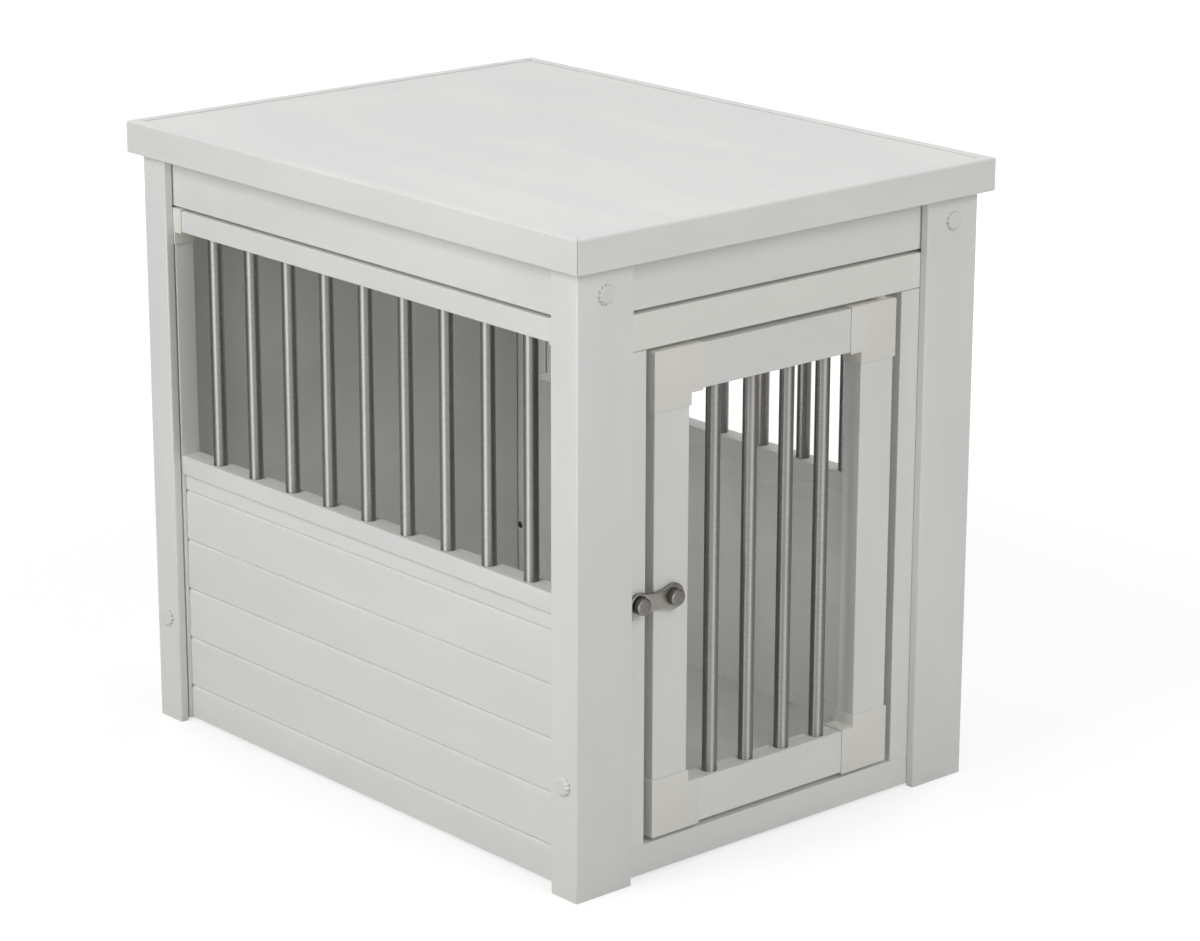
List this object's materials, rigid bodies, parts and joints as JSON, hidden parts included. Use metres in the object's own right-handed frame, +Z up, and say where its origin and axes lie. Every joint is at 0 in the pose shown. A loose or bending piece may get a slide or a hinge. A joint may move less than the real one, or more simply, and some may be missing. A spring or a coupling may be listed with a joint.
{
  "type": "dog crate end table",
  "caption": "End table that doubles as a pet crate, with a framed top on corner posts, rod windows in the sides and a hinged door of rods held by a hook latch.",
  "frame": {"origin": "middle of the table top's footprint, on the floor", "axes": "+Z up, -Y out of the door, +X towards the door's hinge side"},
  "size_m": [0.47, 0.61, 0.559],
  "materials": {
    "white_composite": "satin off-white wood-fibre composite",
    "cream_plastic": "matt moulded plastic, off-white",
    "brushed_steel": "satin stainless steel"
  },
  "bodies": {
    "frame": {"rim_front": "white_composite", "rim_right": "white_composite", "rim_back": "white_composite", "rim_left": "white_composite", "top_panel": "white_composite", "apron_front": "white_composite", "apron_back": "white_composite", "apron_left": "white_composite", "apron_right": "white_composite", "post_front_left": "white_composite", "post_front_right": "white_composite", "post_back_left": "white_composite", "post_back_right": "white_composite", "left_top_rail": "white_composite", "left_stile_front": "white_composite", "left_stile_back": "white_composite", "left_lower_panel": "white_composite", "left_spindle_1": "brushed_steel", "left_spindle_2": "brushed_steel", "left_spindle_3": "brushed_steel", "left_spindle_4": "brushed_steel", "left_spindle_5": "brushed_steel", "left_spindle_6": "brushed_steel", "left_spindle_7": "brushed_steel", "left_spindle_8": "brushed_steel", "left_spindle_9": "brushed_steel", "right_top_rail": "white_composite", "right_stile_front": "white_composite", "right_stile_back": "white_composite", "right_lower_panel": "white_composite", "right_spindle_1": "brushed_steel", "right_spindle_2": "brushed_steel", "right_spindle_3": "brushed_steel", "right_spindle_4": "brushed_steel", "right_spindle_5": "brushed_steel", "right_spindle_6": "brushed_steel", "right_spindle_7": "brushed_steel", "right_spindle_8": "brushed_steel", "right_spindle_9": "brushed_steel", "front_top_rail": "white_composite", "front_bottom_rail": "white_composite", "front_stile_left": "white_composite", "front_stile_right": "white_composite", "back_wall": "white_composite", "floor_panel": "white_composite", "latch_frame_stud": "brushed_steel"},
    "door": {"door_top_rail": "white_composite", "door_bottom_rail": "white_composite", "door_latch_stile": "white_composite", "door_hinge_stile": "white_composite", "door_corner_top_left": "cream_plastic", "door_corner_top_right": "cream_plastic", "door_corner_bottom_left": "cream_plastic", "door_corner_bottom_right": "cream_plastic", "door_spindle_1": "brushed_steel", "door_spindle_2": "brushed_steel", "door_spindle_3": "brushed_steel", "door_spindle_4": "brushed_steel", "latch_pivot_stud": "brushed_steel"},
    "latch": {"latch_lever": "brushed_steel"}
  },
  "joints": [
    {"name": "door_hinge", "type": "hinge", "parent": "frame", "child": "door", "pos_m": [0.1273, -0.2757, 0.24025], "axis": [0, 0, 1], "range_deg": [0, 115]},
    {"name": "latch_pivot", "type": "hinge", "parent": "door", "child": "latch", "pos_m": [-0.117, -0.2884, 0.24025], "axis": [0, 1, 0], "range_deg": [0, 180]}
  ]
}
